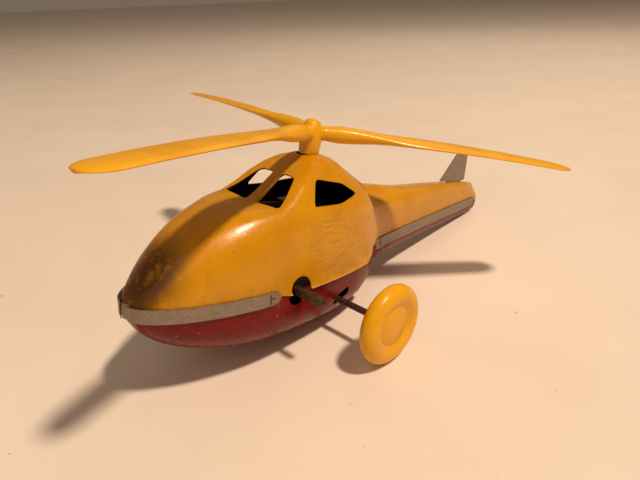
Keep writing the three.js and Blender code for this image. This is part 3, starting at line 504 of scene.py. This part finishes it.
def lanced_mark(node, end, inward, side):
    """The slit near a band's end with the small tongue that runs from it towards the end."""
    work = bmesh.new()
    slit = [(end + SLIT_INSET * inward, z) for z in SLIT_HEIGHTS]
    tongue = [(end + inset * inward, TONGUE_HEIGHT) for inset in TONGUE_INSETS]
    for stroke in (slit, tongue):
        found = [surface(node, x, z, side) for x, z in stroke]
        found = [(point, normal) for point, normal in found if point is not None]
        if len(found) > 1:
            points, normals = zip(*found)
            laid_bar(work, points, normals, MARK_HALF_WIDTH, MARK_RISE)
    new_piece(node + "_slit", work, SLIT)


def nose_fold():
    """The folded joint where the two nose bands meet."""
    front = max(along_body("nose_band_port"))
    work = bmesh.new()
    for sign, lift in FOLD_LEAVES:
        rings = []
        for k in range(FOLD_STEPS + 1):
            z = FOLD_FOOT + FOLD_TALL * k / FOLD_STEPS
            out = lift + FOLD_BULGE * math.sin(math.pi * k / FOLD_STEPS)
            rings.append([work.verts.new(place(front + x + out, sign * y - FOLD_ASIDE, z))
                          for y, x in FOLD_SECTION])
        skin(work, rings)
    new_piece("nose_fold", work, TIN)


for side, word in ((1, "port"), (-1, "starboard")):
    nose_band, boom_band = "nose_band_" + word, "boom_band_" + word
    lanced_mark(nose_band, min(along_body(nose_band)), 1, side)
    lanced_mark(boom_band, max(along_body(boom_band)), -1, side)
nose_fold()

# ---------------------------------------------------------------- stage, light and camera
FLOOR_REACH, FLOOR_SQUARES = 8.0, 8
FLOOR_DROP = 0.02 * MM                       # keeps the floor clear of what stands on it

MIDDLE = AXLE + Vector((0, 0, 0.02))         # what the lights are aimed at
KEY_TRAVEL = Vector((0.101, -0.497, -1.0))   # the way that the main light falls
# name, place from MIDDLE, width, power and colour
LIGHTS = (("key", KEY_TRAVEL * -1.8, 0.18, 42, (0.88, 0.7, 0.5)),
          ("fill", Vector((0.9, 0.5, 0.9)), 1.2, 2.6, (0.9, 0.7, 0.5)),
          ("back", Vector((-1.0, -0.4, 0.8)), 1.0, 1.6, (0.9, 0.72, 0.52)))
ROOM_COLOR, ROOM_STRENGTH = (0.9, 0.68, 0.48, 1), 0.2

YAW, PITCH, ROLL = math.radians(224.832), math.radians(26.2), math.radians(1.851)
EYE = Vector((102.92, 114.065, 103.621)) * MM     # from the floor under the axle's centre
SENSOR = 36
FOCAL_SHARE = 0.781547                            # the focal length over the picture's width
CLIP_START = 0.01


def floor():
    work = bmesh.new()
    bmesh.ops.create_grid(work, x_segments=FLOOR_SQUARES, y_segments=FLOOR_SQUARES, size=FLOOR_REACH)
    mesh = bpy.data.meshes.new("floor")
    work.to_mesh(mesh)
    work.free()
    piece = new_object("floor", mesh)
    piece.location = (0, 0, -FLOOR_DROP)
    dress(piece, floor_paint())


def area_light(name, offset, width, power, color):
    """A round light that is aimed at MIDDLE from offset away."""
    light = bpy.data.lights.new(name, "AREA")
    light.shape, light.size, light.energy, light.color = "DISK", width, power, color
    obj = new_object(name, light)
    obj.location = MIDDLE + offset
    obj.rotation_euler = (-offset).to_track_quat("-Z", "Y").to_euler()


def room():
    """Soft light from all round, and a view transform that keeps the enamel's strong yellow."""
    world = bpy.data.worlds.new("studio")
    world.use_nodes = True
    background = world.node_tree.nodes["Background"]
    background.inputs["Color"].default_value = ROOM_COLOR
    background.inputs["Strength"].default_value = ROOM_STRENGTH
    bpy.context.scene.world = world
    bpy.context.scene.view_settings.view_transform = "Standard"


def camera():
    """The photo's camera, which looks down by PITCH along YAW and is turned by ROLL about its view."""
    forward = Vector((math.cos(YAW) * math.cos(PITCH), math.sin(YAW) * math.cos(PITCH), -math.sin(PITCH)))
    right = Vector((math.sin(YAW), -math.cos(YAW), 0))
    down = forward.cross(right)
    across = right * math.cos(ROLL) + down * math.sin(ROLL)
    below = down * math.cos(ROLL) - right * math.sin(ROLL)
    data = bpy.data.cameras.new("camera")
    data.sensor_width = SENSOR
    data.lens = SENSOR * FOCAL_SHARE
    data.clip_start = CLIP_START
    obj = new_object("camera", data)
    turn = Matrix((across, -below, -forward)).transposed().to_4x4()
    obj.matrix_world = Matrix.Translation(Vector((AXLE.x, AXLE.y, 0)) + EYE) @ turn
    bpy.context.scene.camera = obj


floor()
for light in LIGHTS:
    area_light(*light)
room()
camera()
